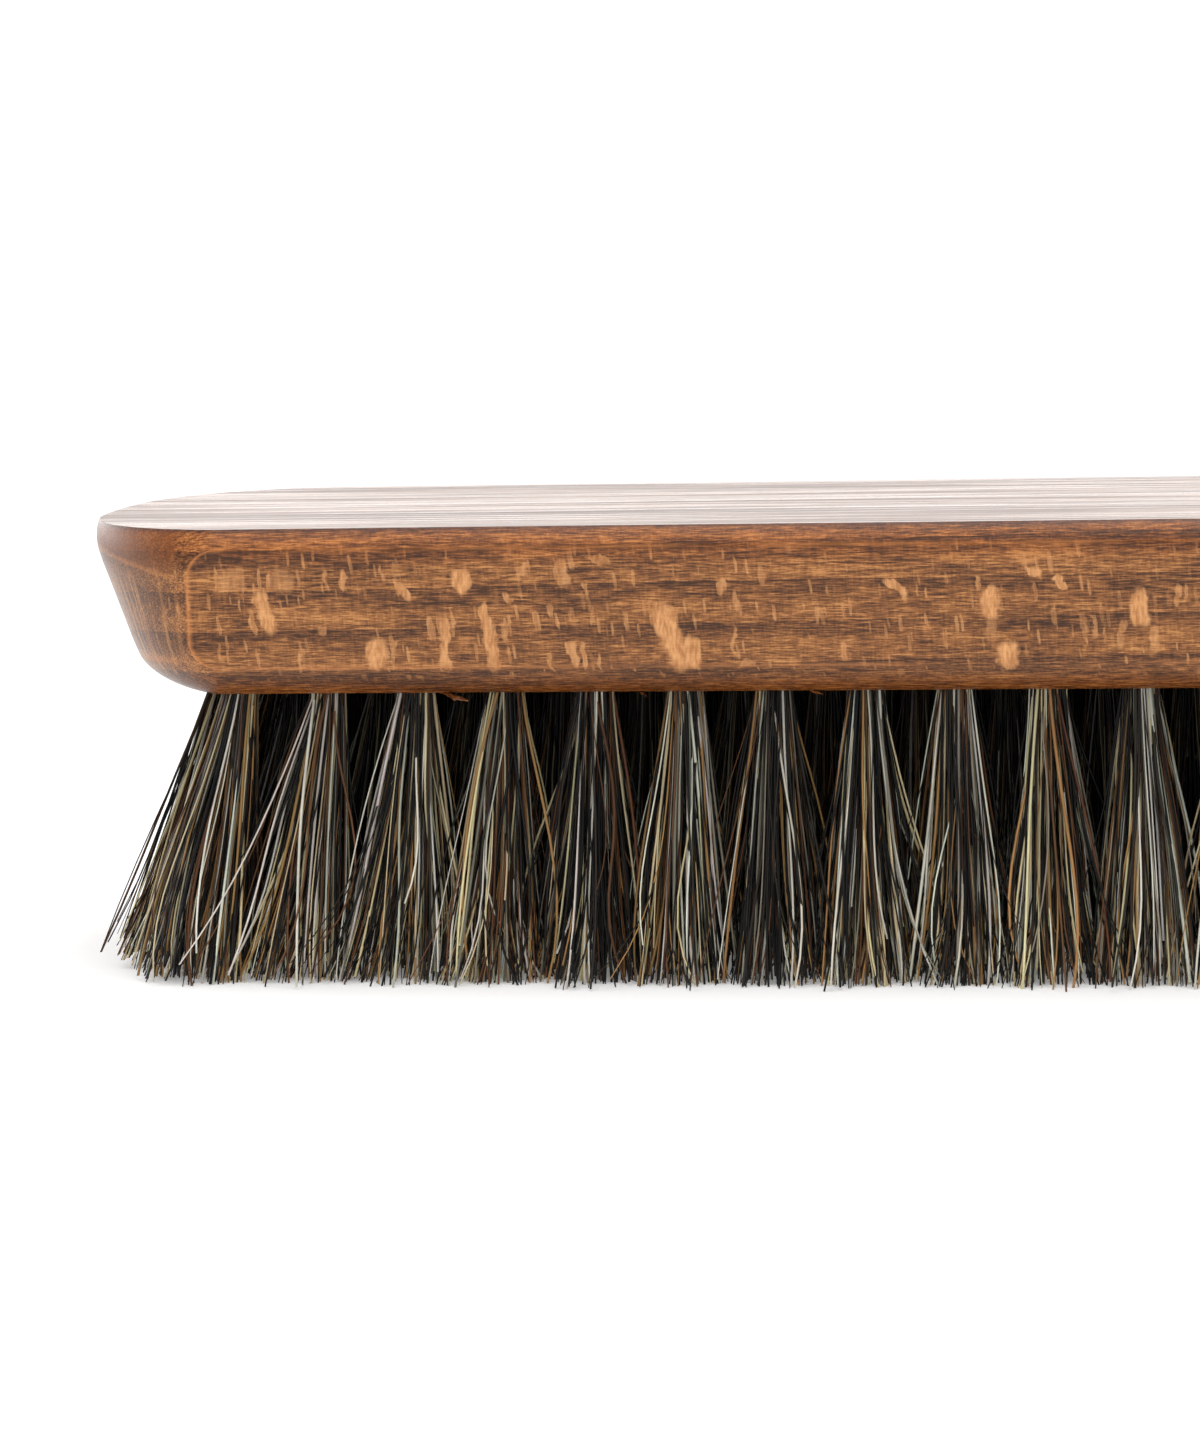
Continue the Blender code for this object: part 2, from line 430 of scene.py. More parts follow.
# Patterns in the stain: cycles per mm along x, around the pith and outwards, detail and roughness. The
# depths are how far each of them moves the tone, in this order.
FIBRE = ((0.55, 7.0, 7.0), 5.0, 0.72)
STREAK = ((0.09, 1.8, 1.8), 3.0, 0.6)
BLOTCH = ((0.12, 0.3, 0.42), 4.0, 0.6)
HATCH = ((4.2, 3.0, 0.8), 3.0, 0.6)
STAIN_DEPTHS = (3.1, 0.95, 0.9, 0.65)
MIDDLE_TONE = 0.58
JITTER = ((1.1, 1.1, 0.8), 3.0, 0.5)
LONG_STREAK = ((0.016, 0.62, 0.3), 5.0, 0.72)

# Patterns that mask a look: the same three, and the values where the mask is 0 and 1
RAY_CROWDING = ((0.09, 0.12, 0.16), 2.0, 0.5, 0.36, 0.56)
RAY_GRAIN = ((3.0, 3.0, 0.8), 4.0, 0.6, 0.3, 0.7)
PORES = ((0.3, 9.0, 4.0), 3.0, 0.7, 0.56, 0.70)
END_RAYS = ((0.04, 2.6, 0.04), 2.0, 0.5, 0.54, 0.62)
WORN_PATCHES = ((0.09, 0.4, 0.4), 3.0, 0.5, 0.38, 0.62)

# Colours of the stain: tone, and colour
STAIN_COLORS = (
    (0.0, (64, 37, 20)),
    (0.25, (94, 57, 32)),
    (0.5, (128, 80, 43)),
    (0.75, (160, 103, 56)),
    (1.0, (198, 137, 80)),
)

# Large rays on the front side, in mm: x, depth below the top, half width, half height, lean in degrees,
# strength
FRONT_FLECKS = (
    (-82.0, 4.9, 1.4, 1.1, 0, 0.45), (-77.0, 4.9, 1.3, 1.1, 0, 0.35), (-70.9, 4.8, 0.32, 1.0, 0, 0.7),
    (-78.7, 7.7, 0.75, 2.1, 14, 0.9), (-79.9, 8.9, 0.30, 1.1, 12, 0.7), (-65.1, 6.0, 0.42, 1.2, 38, 0.8),
    (-59.4, 4.9, 0.95, 1.2, 14, 0.95), (-61.2, 10.9, 0.48, 2.6, 6, 0.85), (-60.6, 8.6, 0.2, 1.0, 6, 0.6),
    (-57.3, 8.6, 0.50, 1.4, 8, 0.85), (-56.7, 11.4, 0.60, 2.3, 4, 0.9), (-67.8, 12.0, 1.1, 1.4, 18, 0.9),
    (-66.1, 12.0, 0.22, 1.3, -8, 0.6), (-55.1, 6.7, 0.40, 0.8, 34, 0.7), (-49.7, 4.3, 0.55, 1.2, 0, 0.6),
    (-48.9, 12.2, 0.35, 1.3, 12, 0.7), (-46.3, 3.1, 1.3, 0.35, -16, 0.6), (-41.0, 8.0, 0.35, 0.9, 0, 0.6),
    (-39.3, 10.6, 1.1, 3.3, 20, 0.95), (-37.3, 12.1, 0.7, 1.5, 4, 0.9), (-34.5, 5.8, 0.42, 0.7, 10, 0.7),
    (-33.4, 10.9, 0.2, 1.3, 0, 0.5), (-23.0, 11.9, 0.32, 1.0, 0, 0.6), (-18.2, 6.0, 1.35, 0.40, -33, 0.85),
    (-10.1, 5.7, 0.3, 0.6, 4, 0.6), (-9.0, 7.6, 0.9, 1.35, 0, 0.95), (-9.1, 10.0, 0.7, 1.2, 0, 0.35),
    (-7.5, 12.5, 1.0, 1.2, 0, 0.95), (-5.1, 4.6, 1.0, 0.32, -30, 0.8), (-2.4, 5.8, 0.85, 0.36, -38, 0.85),
    (4.8, 8.2, 0.9, 1.7, 6, 0.95), (6.1, 11.2, 0.5, 1.2, 0, 0.5), (3.1, 10.4, 0.3, 1.3, -4, 0.5),
    (-0.3, 10.4, 0.2, 1.2, 0, 0.5), (-54.9, 9.0, 0.2, 0.9, 6, 0.55), (-52.5, 8.8, 0.2, 0.9, 8, 0.6),
    (-51.1, 8.0, 0.32, 0.65, 14, 0.55), (-50.3, 8.9, 0.18, 0.8, 10, 0.5), (-47.6, 6.0, 0.2, 0.7, 6, 0.6),
    (-46.7, 8.3, 0.2, 1.0, 0, 0.55), (-47.8, 12.4, 0.3, 1.2, 10, 0.75), (-50.9, 12.8, 0.2, 0.8, 12, 0.6),
    (-46.4, 12.8, 0.18, 0.8, 10, 0.5), (-73.0, 9.5, 0.5, 0.5, 0, 0.5), (-72.6, 4.8, 0.2, 0.9, 0, 0.5),
    (-78.2, 4.9, 0.2, 1.1, 0, 0.6), (-83.4, 4.7, 0.22, 1.1, 0, 0.65), (-80.9, 5.3, 0.16, 0.8, 0, 0.5),
    (-75.3, 12.1, 0.16, 1.4, 0, 0.55), (-79.4, 12.5, 0.15, 1.0, 0, 0.45), (-83.4, 11.6, 0.2, 1.0, 8, 0.5),
    (-67.2, 4.4, 0.2, 0.7, 10, 0.5), (-65.9, 5.6, 0.16, 0.9, 20, 0.55), (-53.4, 4.1, 0.42, 0.5, 10, 0.55),
    (0.5, 9.9, 0.18, 1.0, -4, 0.5), (1.4, 10.7, 0.2, 0.8, 0, 0.5), (8.4, 7.0, 0.22, 0.9, 0, 0.6),
    (9.1, 6.9, 0.2, 0.7, 0, 0.5), (-32.2, 13.0, 0.8, 0.32, 0, 0.5),
)
FLECK_DEPTH = 1.2
FLECK_ROUNDNESS = 3.0
FLECK_FADE = (1.7, 0.25)
FLECK_WARP = 0.8
FLECK_WARP_CYCLES = (0.9, 0.9, 0.7)

# Other rays: size of a cell along x, around and along the radius, share of cells with a ray, reach,
# strength, and how far they bend in mm
RAY_KINDS = (
    ((6.0, 2.4, 9.0), 0.18, 0.24, 0.65, 1.3),
    ((3.2, 0.9, 14.0), 0.34, 0.15, 0.40, 0.7),
    ((1.2, 1.3, 4.8), 0.55, 0.28, 0.52, 0.5),
    ((0.65, 1.0, 3.4), 0.70, 0.30, 0.50, 0.35),
)
RAY_LEAN = 0.12
RAY_ROUNDNESS = 3.0
LEAST_RAY_SHARE = 0.4
RAY_FADE = (-0.02, 0.05)
RAY_CHANCE_MARGIN = 0.01
UNCROWDED = 0.40
UNPLANED = 0.15
RAY_COLORS = ((182, 120, 68), (232, 170, 112))

# Tints: an sRGB colour, and how much of it
END_GRAIN_TINT = ((98, 68, 48), 0.45)
PORE_TINT = ((64, 40, 26), 0.55)
END_RAY_STRENGTH = 0.42
BROW_TINT = ((122, 70, 28), 0.50)
# Painted highlight along the lower edge of each end's brow, also used for a pale line where the heel starts
PALE_LINE_TINT = ((196, 128, 70), 0.38)
# Painted shade: warmer and darker on the rounded edges, darker still on the heel
WARM_EDGE_PAINTED_SHADE = ((255, 228, 190), 0.75)
HEEL_PAINTED_SHADE = ((206, 200, 186), 0.9)
TOP_EDGE_TINT = ((70, 44, 40), 0.6)
CREASE_COLOR = (212, 136, 76)
CREASE_STRENGTHS = (0.42, 0.64)
TOP_COLORS = ((72, 50, 36), (144, 106, 76))
TOP_STRENGTH = 0.8

# Where a look starts and is full: in mm above the underside, below the top or along x from the middle, by how
# squarely the surface faces along x or up, or by the long streaks
PLANED_ABOVE_HEEL = (0.5, 2.8)
PLANED_BELOW_TOP = (1.2, 3.2)
END_RAYS_BELOW_TOP = (4.0, 6.0)
HEEL_ABOVE_UNDERSIDE = (2.5, 0.5)
RIM_BELOW_TOP = (4.2, 1.5)
LINE_BELOW_TOP = (0.45, 0.1)
CREASE_ALL_WORN = (80.0, 86.0)
CREASE_PALER = (78.0, 85.0)
END_GRAIN_FACING = (0.35, 0.75)
LEVEL_FACING = (0.9, 0.98)
LINE_FACING = (0.97, 0.8)
TOP_STREAKS = (0.36, 0.64)
DULL_STREAKS = (0.62, 0.38)

# The brow of each end: how far it reaches in from the end, its depth there, its slope, and how its edge and
# the start of the heel wander, with the painted highlight along its edge and the pale line at the start of
# the heel
BROW_REACH = 13.2
BROW_DEPTH = 2.0
BROW_SLOPE = 0.20
BROW_JITTER = 0.5
BROW_FADE = (0.0, 0.6)
BROW_LINE_BAND = (-0.1, 0.25, 0.25, 0.7)
HEEL_JITTER = 0.8
HEEL_LINE_BAND = (3.2, 3.6, 3.7, 4.4)

# Gloss and relief
FIBRE_ROUGHNESS = (0.12, 0.42)
DULL_STREAK_ROUGHNESS = 0.16
WOOD_SPECULAR = 0.33
FIBRE_RELIEF = 0.7
STREAK_RELIEF = 0.6
RELIEF_STRENGTH = 0.40
RELIEF_HEIGHT = 0.12 * MM


class Wood(Shader):
    """A wood material with its places in mm: along the brush, around the pith and outwards from it."""

    def __init__(self, name):
        super().__init__(name)
        self.place = self.scaled(self.node("TexCoord", output=3), (1 / MM, 1 / MM, 1 / MM))
        self.x, y, self.z = self.separate(self.place)
        across = self.math("ADD", y, -PITH_Y)
        upward = self.math("ADD", self.z, -PITH_Z)
        squares = [self.math("POWER", side, 2.0) for side in (across, upward)]
        self.radius = self.math("SQRT", self.math("ADD", *squares))
        self.around = self.product(self.math("ARCTAN2", across, upward), ARC_RADIUS)
        self.grain = self.combine(self.x, self.around, self.radius)
        self.out = self.math("ABSOLUTE", self.x)
        self.normal = self.separate(self.node("NewGeometry", output=1))
        self.jitter = self.pattern(*JITTER)

    def pattern(self, cycles, detail=2.0, roughness=0.5):
        """Noise along the grain, with its cycles per mm along x, around the pith and outwards."""
        return self.noise(self.scaled(self.grain, cycles), detail, roughness)

    def mask(self, cycles, detail, roughness, low, high):
        return self.step(self.pattern(cycles, detail, roughness), low, high)

    def above_underside(self, start, full):
        return self.step(self.z, UNDERSIDE_MM + start, UNDERSIDE_MM + full)

    def below_top(self, start, full):
        return self.step(self.z, TOP_MM - start, TOP_MM - full)


def stain_color(wood, fibre, streak):
    """The stain: growth rings that start pale and end dark, with fibres, streaks, blotches and hatching."""
    wander = wood.pattern(WANDER_CYCLES, 3.0)
    tilted = wood.math("MULTIPLY_ADD", wood.x, RING_TILT, wood.radius)
    ring_place = wood.math("MULTIPLY_ADD", wander, WANDER, tilted)
    ring = wood.math("DIVIDE", wood.math("SUBTRACT", ring_place, RING_START), RING_WIDTH)
    ring_share = wood.math("FRACT", ring)
    late = wood.band(ring_share, *LATE_WOOD_BAND)
    line = wood.band(ring_share, *RING_LINE_BAND)

    patterns = (fibre, streak, wood.pattern(*BLOTCH), wood.pattern(*HATCH))
    tone = MIDDLE_TONE
    for pattern, depth in zip(patterns, STAIN_DEPTHS):
        tone = wood.swing(pattern, depth, tone)
    tone = wood.math("MULTIPLY_ADD", late, LATE_WOOD, tone)
    tone = wood.math("MULTIPLY_ADD", line, RING_LINE, tone)

    ramp = wood.add("ValToRGB", Fac=tone)
    for index, (position, color) in enumerate(STAIN_COLORS):
        stop = ramp.color_ramp.elements[index] if index < 2 else ramp.color_ramp.elements.new(position)
        stop.position = position
        stop.color = (*linear(*color), 1.0)
    return ramp.outputs[0]


def ray_mask(wood, x, size, share, reach):
    """Rays scattered through the wood: thin upright sheets, sized along x, around and along the radius."""
    place = wood.combine(x, wood.around, wood.radius)
    cells = wood.add("TexVoronoi", {"distance": "MINKOWSKI"}, Exponent=RAY_ROUNDNESS, Scale=1.0,
                     Vector=wood.scaled(place, tuple(1 / length for length in size)))
    chance = wood.add("SeparateColor", Color=cells.outputs["Color"]).outputs
    limit = wood.between(chance[0], LEAST_RAY_SHARE * reach, reach)
    inside = wood.step(wood.math("SUBTRACT", limit, cells.outputs["Distance"]), *RAY_FADE)
    present = wood.step(chance[1], share + RAY_CHANCE_MARGIN, share - RAY_CHANCE_MARGIN)
    return wood.product(inside, present)


def scattered_rays(wood):
    """The smaller rays. They crowd in places, and are faint on the rounded edges, which cross few."""
    leaning = wood.math("MULTIPLY_ADD", wood.radius, RAY_LEAN, wood.x)
    rays = 0.0
    for size, share, reach, strength, bend in RAY_KINDS:
        mask = ray_mask(wood, wood.swing(wood.jitter, bend, leaning), size, share, reach)
        rays = wood.math("MAXIMUM", rays, wood.product(mask, strength))
    crowding = wood.between(wood.mask(*RAY_CROWDING), UNCROWDED, 1.0)
    planed = wood.product(wood.above_underside(*PLANED_ABOVE_HEEL), wood.below_top(*PLANED_BELOW_TOP))
    return wood.product(rays, crowding, wood.between(planed, UNPLANED, 1.0))


def fleck_mask(wood):
    """The large rays laid bare on the front side. Each is a rounded patch, leaning as the rays do."""
    warp = wood.noise(wood.scaled(wood.grain, FLECK_WARP_CYCLES), 3.0, output=1)
    place = wood.vector_math("MULTIPLY_ADD", warp, (2 * FLECK_WARP, 0.0, 2 * FLECK_WARP), wood.place)
    place = wood.vector_math("ADD", place, (-FLECK_WARP, 0.0, -FLECK_WARP))
    covered = 0.0
    for x, depth, half_width, half_height, lean, strength in FRONT_FLECKS:
        local = wood.node("Mapping", {"vector_type": "TEXTURE"}, Vector=place,
                          Location=(x, -HALF_WIDTH / MM, TOP_MM - depth),
                          Rotation=(0.0, -math.radians(lean), 0.0),
                          Scale=(half_width, FLECK_DEPTH, half_height))
        powers = wood.vector_math("POWER", wood.vector_math("ABSOLUTE", local), (FLECK_ROUNDNESS,) * 3)
        distance = wood.vector_math("DOT_PRODUCT", powers, (1.0, 1.0, 1.0), output="Value")
        patch = wood.product(wood.step(distance, *FLECK_FADE), strength)
        covered = wood.math("MAXIMUM", covered, patch)
    return covered


def tint_end_grain(wood, color, ray_color):
    """The ends of the fibres are greyer and show pores, and the rays cross them as thin lines."""
    end_grain = wood.step(wood.math("ABSOLUTE", wood.normal[0]), *END_GRAIN_FACING)
    color = wood.tinted(color, end_grain, END_GRAIN_TINT)
    color = wood.tinted(color, wood.product(wood.mask(*PORES), end_grain), PORE_TINT)
    end_rays = wood.product(wood.mask(*END_RAYS), wood.below_top(*END_RAYS_BELOW_TOP), end_grain)
    return wood.mix(wood.product(end_rays, END_RAY_STRENGTH), color, ray_color)


def tint_ends(wood, color):
    """The brow of each end has a warm shine, a painted highlight along its lower edge, and a pale line where
    the heel starts.
    """
    at_end = wood.step(wood.out, END_MM - BROW_REACH, END_MM - BROW_REACH + 1.0)
    brow_edge = wood.math("MULTIPLY_ADD", wood.out, BROW_SLOPE, TOP_MM - BROW_DEPTH - BROW_SLOPE * END_MM)
    over_brow = wood.math("SUBTRACT", wood.math("MULTIPLY_ADD", wood.jitter, BROW_JITTER, wood.z), brow_edge)
    brow = wood.product(wood.step(over_brow, *BROW_FADE), at_end)
    color = wood.tinted(color, brow, BROW_TINT)
    # Painted highlight along the brow's lower edge, and a pale line where the heel starts
    brow_line = wood.band(over_brow, *BROW_LINE_BAND)
    height = wood.math("SUBTRACT", wood.z, UNDERSIDE_MM)
    heel_line = wood.band(wood.math("MULTIPLY_ADD", wood.jitter, HEEL_JITTER, height), *HEEL_LINE_BAND)
    pale_lines = wood.product(wood.math("MAXIMUM", brow_line, heel_line), at_end)
    return wood.tinted(color, pale_lines, PALE_LINE_TINT)


def paint_edge_shade_and_crease_wear(wood, color):
    """The rounded edges get a painted warm shade and the heel a darker painted shade, and the creases are
    worn pale in patches.
    """
    heel = wood.above_underside(*HEEL_ABOVE_UNDERSIDE)
    rim = wood.below_top(*RIM_BELOW_TOP)
    # Painted shade: the rounded edges warmer and darker, the heel darker again
    color = wood.tinted(color, wood.math("MAXIMUM", heel, rim), WARM_EDGE_PAINTED_SHADE, "MULTIPLY")
    color = wood.tinted(color, heel, HEEL_PAINTED_SHADE, "MULTIPLY")
    wear = wood.node("Attribute", {"attribute_name": "wear"}, output=2)
    patches = wood.math("MAXIMUM", wood.mask(*WORN_PATCHES), wood.step(wood.out, *CREASE_ALL_WORN))
    strength = wood.between(wood.step(wood.out, *CREASE_PALER), *CREASE_STRENGTHS)
    return wood.mix(wood.product(wear, patches, strength), color, linear(*CREASE_COLOR))


def wood_material():
    """Stained beech: growth rings about a pith under the front side, fibres along the brush, and rays."""
    wood = Wood("stained_beech")
    fibre = wood.pattern(*FIBRE)
    streak = wood.pattern(*STREAK)
    color = stain_color(wood, fibre, streak)
    ray_color = wood.mix(wood.mask(*RAY_GRAIN), *[linear(*ray) for ray in RAY_COLORS])
    color = wood.mix(wood.math("MAXIMUM", scattered_rays(wood), fleck_mask(wood)), color, ray_color)
    color = tint_end_grain(wood, color, ray_color)
    color = tint_ends(wood, color)
    color = paint_edge_shade_and_crease_wear(wood, color)

    # The top face is greyer, with long streaks in its colour and gloss, and a dark line at its edge
    level = wood.step(wood.normal[2], *LEVEL_FACING)
    long_streak = wood.pattern(*LONG_STREAK)
    top_color = wood.mix(wood.step(long_streak, *TOP_STREAKS), *[linear(*tone) for tone in TOP_COLORS])
    color = wood.mix(wood.product(level, TOP_STRENGTH), color, top_color)
    line = wood.product(wood.below_top(*LINE_BELOW_TOP), wood.step(wood.normal[2], *LINE_FACING))
    color = wood.tinted(color, line, TOP_EDGE_TINT)

    duller = wood.product(wood.step(long_streak, *DULL_STREAKS), level)
    fibre_roughness = wood.between(fibre, *FIBRE_ROUGHNESS)
    roughness = wood.math("MULTIPLY_ADD", duller, DULL_STREAK_ROUGHNESS, fibre_roughness)
    relief = wood.math("ADD", wood.product(fibre, FIBRE_RELIEF), wood.product(streak, STREAK_RELIEF))
    bump = wood.node("Bump", Strength=RELIEF_STRENGTH, Distance=RELIEF_HEIGHT, Height=relief)
    wood.feed_surface(Base_Color=color, Roughness=roughness, Normal=bump, Specular_IOR_Level=WOOD_SPECULAR)
    return wood.material


# Other materials

# Cycles per metre of each pattern, and the values that it moves between
STEEL_CYCLES = (400.0, 9000.0, 9000.0)
STEEL_COLORS = ((150, 148, 144), (205, 203, 198))
STEEL_ROUGHNESS = (0.25, 0.55)
HAIR_CYCLES = (900.0, 900.0, 180.0)
HAIR_SHADE = (0.65, 1.35)
HAIR_ROUGHNESS = (0.38, 0.58)
HAIR_SPECULAR = 0.28


def steel_material():
    """Drawn wire, with fine lines along it."""
    steel = Shader("drawn_steel_wire")
    lines = steel.noise(steel.scaled(steel.node("TexCoord", output=3), STEEL_CYCLES), 3.0)
    color = steel.mix(lines, *[linear(*tone) for tone in STEEL_COLORS])
    steel.feed_surface(Base_Color=color, Metallic=1.0, Roughness=steel.between(lines, *STEEL_ROUGHNESS))
    return steel.material


def hair_material():
    """Horsehair: each hair's own tone with painted shade near the block, and faint changes along it."""
    hair = Shader("mixed_horsehair")
    # The tone attribute holds each hair's colour with its painted shade
    tone = hair.node("Attribute", {"attribute_name": "tone"}, output=0)
    drift = hair.noise(hair.scaled(hair.node("TexCoord", output=3), HAIR_CYCLES))
    shade = hair.between(drift, *HAIR_SHADE)
    color = hair.mix(1.0, tone, hair.combine(shade, shade, shade), "MULTIPLY")
    roughness = hair.between(drift, *HAIR_ROUGHNESS)
    hair.feed_surface(Base_Color=color, Roughness=roughness, Specular_IOR_Level=HAIR_SPECULAR)
    return hair.material


# The hair

HAIR_SEED = 7

# Hairs in a tuft, points along each, sides of its tube, and its radius
OUTER_HAIR = (240, 11, 4, 0.092 * MM)
INNER_HAIR = (130, 7, 3, 0.11 * MM)
END_TUFT_EXTRA = 70
END_UNRULY = 0.3
ROOT_FILL = 0.92

# Tones of the hairs: share, and colour
TONES = (
    (0.38, (20, 20, 20)),
    (0.14, (46, 41, 35)),
    (0.12, (108, 72, 46)),
    (0.09, (178, 136, 84)),
    (0.12, (242, 225, 178)),
    (0.08, (252, 248, 232)),
    (0.07, (150, 146, 130)),
)
TUFT_MIX = (0.6, 1.5)
BRIGHTNESS = (0.65, 1.3)
TINGE = (0.94, 1.06)
BRIGHTEST = 0.95
PALE_TONE = 0.4
PALE_RADIUS = 0.112 * MM
RADIUS_SCATTER = 0.032 * MM
RADIUS_LIMITS = (0.06 * MM, 0.19 * MM)
TIP_TAPER = 0.2

# Painted shade in the tufts: how light the roots are, between black and the hair's tone, and how slowly the
# tone comes back below them
LIGHT_ROOT_SHADE = (0.58, 1.3)
DEEP_ROOT_SHADE = (0.06, 1.7)
# Painted shade over the whole hair: the share of its tone that is left, from this share of its length to its
# tip
FULL_TONE = 0.90
FULL_TONE_SHARE = 0.85

# Where the tips go: hairs hang together in locks, and wavy and stray ones leave them
LOCKS = 14
SPREAD_POWER = 0.8
TIP_SCATTER = 0.5 * MM
LOCK_TIP_SCATTER = 0.75 * MM
WAVY_SHARE = 0.20
WAVY_TIP_SCATTER = 1.9 * MM
STRAY_SHARE = 0.06
STRAY_TIP_SCATTER = 3.2 * MM
TIP_LIMITS = (HALF_LENGTH - 0.3 * MM, HALF_WIDTH + 2.6 * MM)
LIMIT_SCATTER = 0.02

# Lengths: most hairs end at the trimmed level, some are shorter, and a few are broken short
LENGTH_EXTRA = 0.5 * MM
LENGTH_SCATTER = 0.5 * MM
SHORT_SHARE = 0.30
SHORT_LOSS = 6.0 * MM
BROKEN_SHARE = 0.05
BROKEN_LOSS = 15.0 * MM
LOWEST_TIP = 0.05 * MM
LEAST_DROP = 10.0 * MM

# Curves: a bow and a sway of each hair, more of both in wavy hairs, and a flare that most share
BOW_SCATTER = 0.40 * MM
LOCK_BOW_SCATTER = 0.5 * MM
WAVY_BOW_SCATTER = 1.0 * MM
CURLED_SHARE = 0.04
CURLED_BOW_SCATTER = 2.6 * MM
SWAY_SCATTER = 0.20 * MM
WAVY_SWAY_SCATTER = 0.5 * MM
FLARE = 0.08
FLARE_SCATTER = 0.13
FOLD_HEIGHT = TOP - 6.6 * MM

# The bake's UV map: the margin of each hair's cell, and the rows of its two caps
UV_MARGIN = 0.08
CAP_ROWS = (0.02, 0.98)


def some_moved(rng, count, share, scatter):
    """Moves for a share of the hairs, and none for the others."""
    return np.where(rng.random((count, 1)) < share, rng.normal(0.0, scatter, (count, 2)), 0.0)


def hair_roots(rng, count):
    """Where a tuft's hairs leave its hole, off the hole's centre, and the lock that each hangs in."""
    reach = ROOT_FILL * ROOT_RADIUS
    radius = reach * np.sqrt(rng.random(count))
    angle = rng.random(count) * 2 * np.pi
    off = np.column_stack([radius * np.cos(angle), radius * np.sin(angle)])
    seeds = rng.uniform(-reach, reach, (LOCKS, 2))
    lock = np.linalg.norm(off[:, None] - seeds[None], axis=2).argmin(axis=1)
    return off, lock


def hair_tips(rng, start, off, lock, tip_x, tip_y, unruly):
    """The hairs' tips in plan and their heights, and which hairs are wavy. Each tip's place in the tuft's
    share of the trimmed face is its root's place in the hole."""
    count = len(start)
    spread = np.sign(off) * np.abs(off / (ROOT_FILL * ROOT_RADIUS)) ** SPREAD_POWER
    middle = np.array([sum(tip_x) / 2, sum(tip_y) / 2])
    half_size = np.array([tip_x[1] - tip_x[0], tip_y[1] - tip_y[0]]) / 2
    tip = middle + spread * half_size + rng.normal(0.0, TIP_SCATTER, (count, 2))
    tip += rng.normal(0.0, LOCK_TIP_SCATTER, (LOCKS, 2))[lock]
    wavy = (rng.random(count) < WAVY_SHARE)[:, None]
    tip += np.where(wavy, rng.normal(0.0, WAVY_TIP_SCATTER, (count, 2)), 0.0) * unruly
    tip += some_moved(rng, count, STRAY_SHARE, STRAY_TIP_SCATTER) * unruly
    beyond = np.abs(tip) > TIP_LIMITS
    limited = np.sign(tip) * TIP_LIMITS * (1 - LIMIT_SCATTER * rng.random((count, 2)))
    tip = np.where(beyond, limited, tip)

    length = UNDERSIDE + rng.normal(LENGTH_EXTRA, LENGTH_SCATTER, count)
    length -= np.where(rng.random(count) < SHORT_SHARE, rng.random(count) ** 2 * SHORT_LOSS, 0.0)
    length -= np.where(rng.random(count) < BROKEN_SHARE, rng.random(count) * BROKEN_LOSS, 0.0)
    tip = start + (tip - start) * np.minimum(1.0, length / UNDERSIDE)[:, None]
    lean = np.linalg.norm(tip - start, axis=1)
    drop = np.sqrt(np.maximum(length ** 2 - lean ** 2, LEAST_DROP ** 2))
    return tip, np.maximum(LOWEST_TIP, UNDERSIDE - drop), wavy


def hair_curves(rng, start, tip, tip_z, lock, wavy, rings, unruly):
    """Points along each hair, from the underside of the block to its tip."""
    count = len(start)
    bow = rng.normal(0.0, BOW_SCATTER, (count, 2)) + rng.normal(0.0, LOCK_BOW_SCATTER, (LOCKS, 2))[lock]
    bow += np.where(wavy, rng.normal(0.0, WAVY_BOW_SCATTER, (count, 2)), 0.0) * unruly
    bow += some_moved(rng, count, CURLED_SHARE, CURLED_BOW_SCATTER) * unruly
    sway = rng.normal(0.0, SWAY_SCATTER, (count, 2))
    sway += np.where(wavy, rng.normal(0.0, WAVY_SWAY_SCATTER, (count, 2)), 0.0)
    flare = rng.normal(FLARE, FLARE_SCATTER, (count, 1, 1)) * unruly

    share = np.linspace(0.0, 1.0, rings)[:, None]
    arch = 4 * share * (1 - share)
    way = (tip - start)[:, None]
    flat = start[:, None] + way * share - way * flare * arch
    flat += bow[:, None] * arch * share + sway[:, None] * np.sin(2 * np.pi * share) * share
    height = UNDERSIDE + (tip_z - UNDERSIDE)[:, None, None] * share
    return np.concatenate([flat, height], axis=2)


def hair_looks(rng, count, rings, radius, roots):
    """The hairs' radii and linear colours, at the fold and at each point below it. The colours carry painted
    shade, darkest at the fold.
    """
    share = np.concatenate([[0.0], np.linspace(0.0, 1.0, rings)])
    weights = np.array([part for part, _ in TONES]) * rng.uniform(*TUFT_MIX, len(TONES))
    picked = rng.choice(len(TONES), count, p=weights / weights.sum())
    tones = np.array([linear(*color) for _, color in TONES])[picked]
    pale = tones.max(axis=1) > PALE_TONE
    radii = np.clip(rng.normal(np.where(pale, PALE_RADIUS, radius), RADIUS_SCATTER), *RADIUS_LIMITS)
    tones = tones * rng.uniform(*BRIGHTNESS, (count, 1)) * rng.uniform(*TINGE, (count, 3))
    tones /= np.maximum(1.0, tones.max(axis=1, keepdims=True) / BRIGHTEST)
    root_shade, slowness = roots
    shading = root_shade + (FULL_TONE - root_shade) * np.clip(share / FULL_TONE_SHARE, 0.0, 1.0) ** slowness
    taper = 1.0 - TIP_TAPER * share ** 2
    return radii[:, None] * taper, tones[:, None] * shading[:, None]


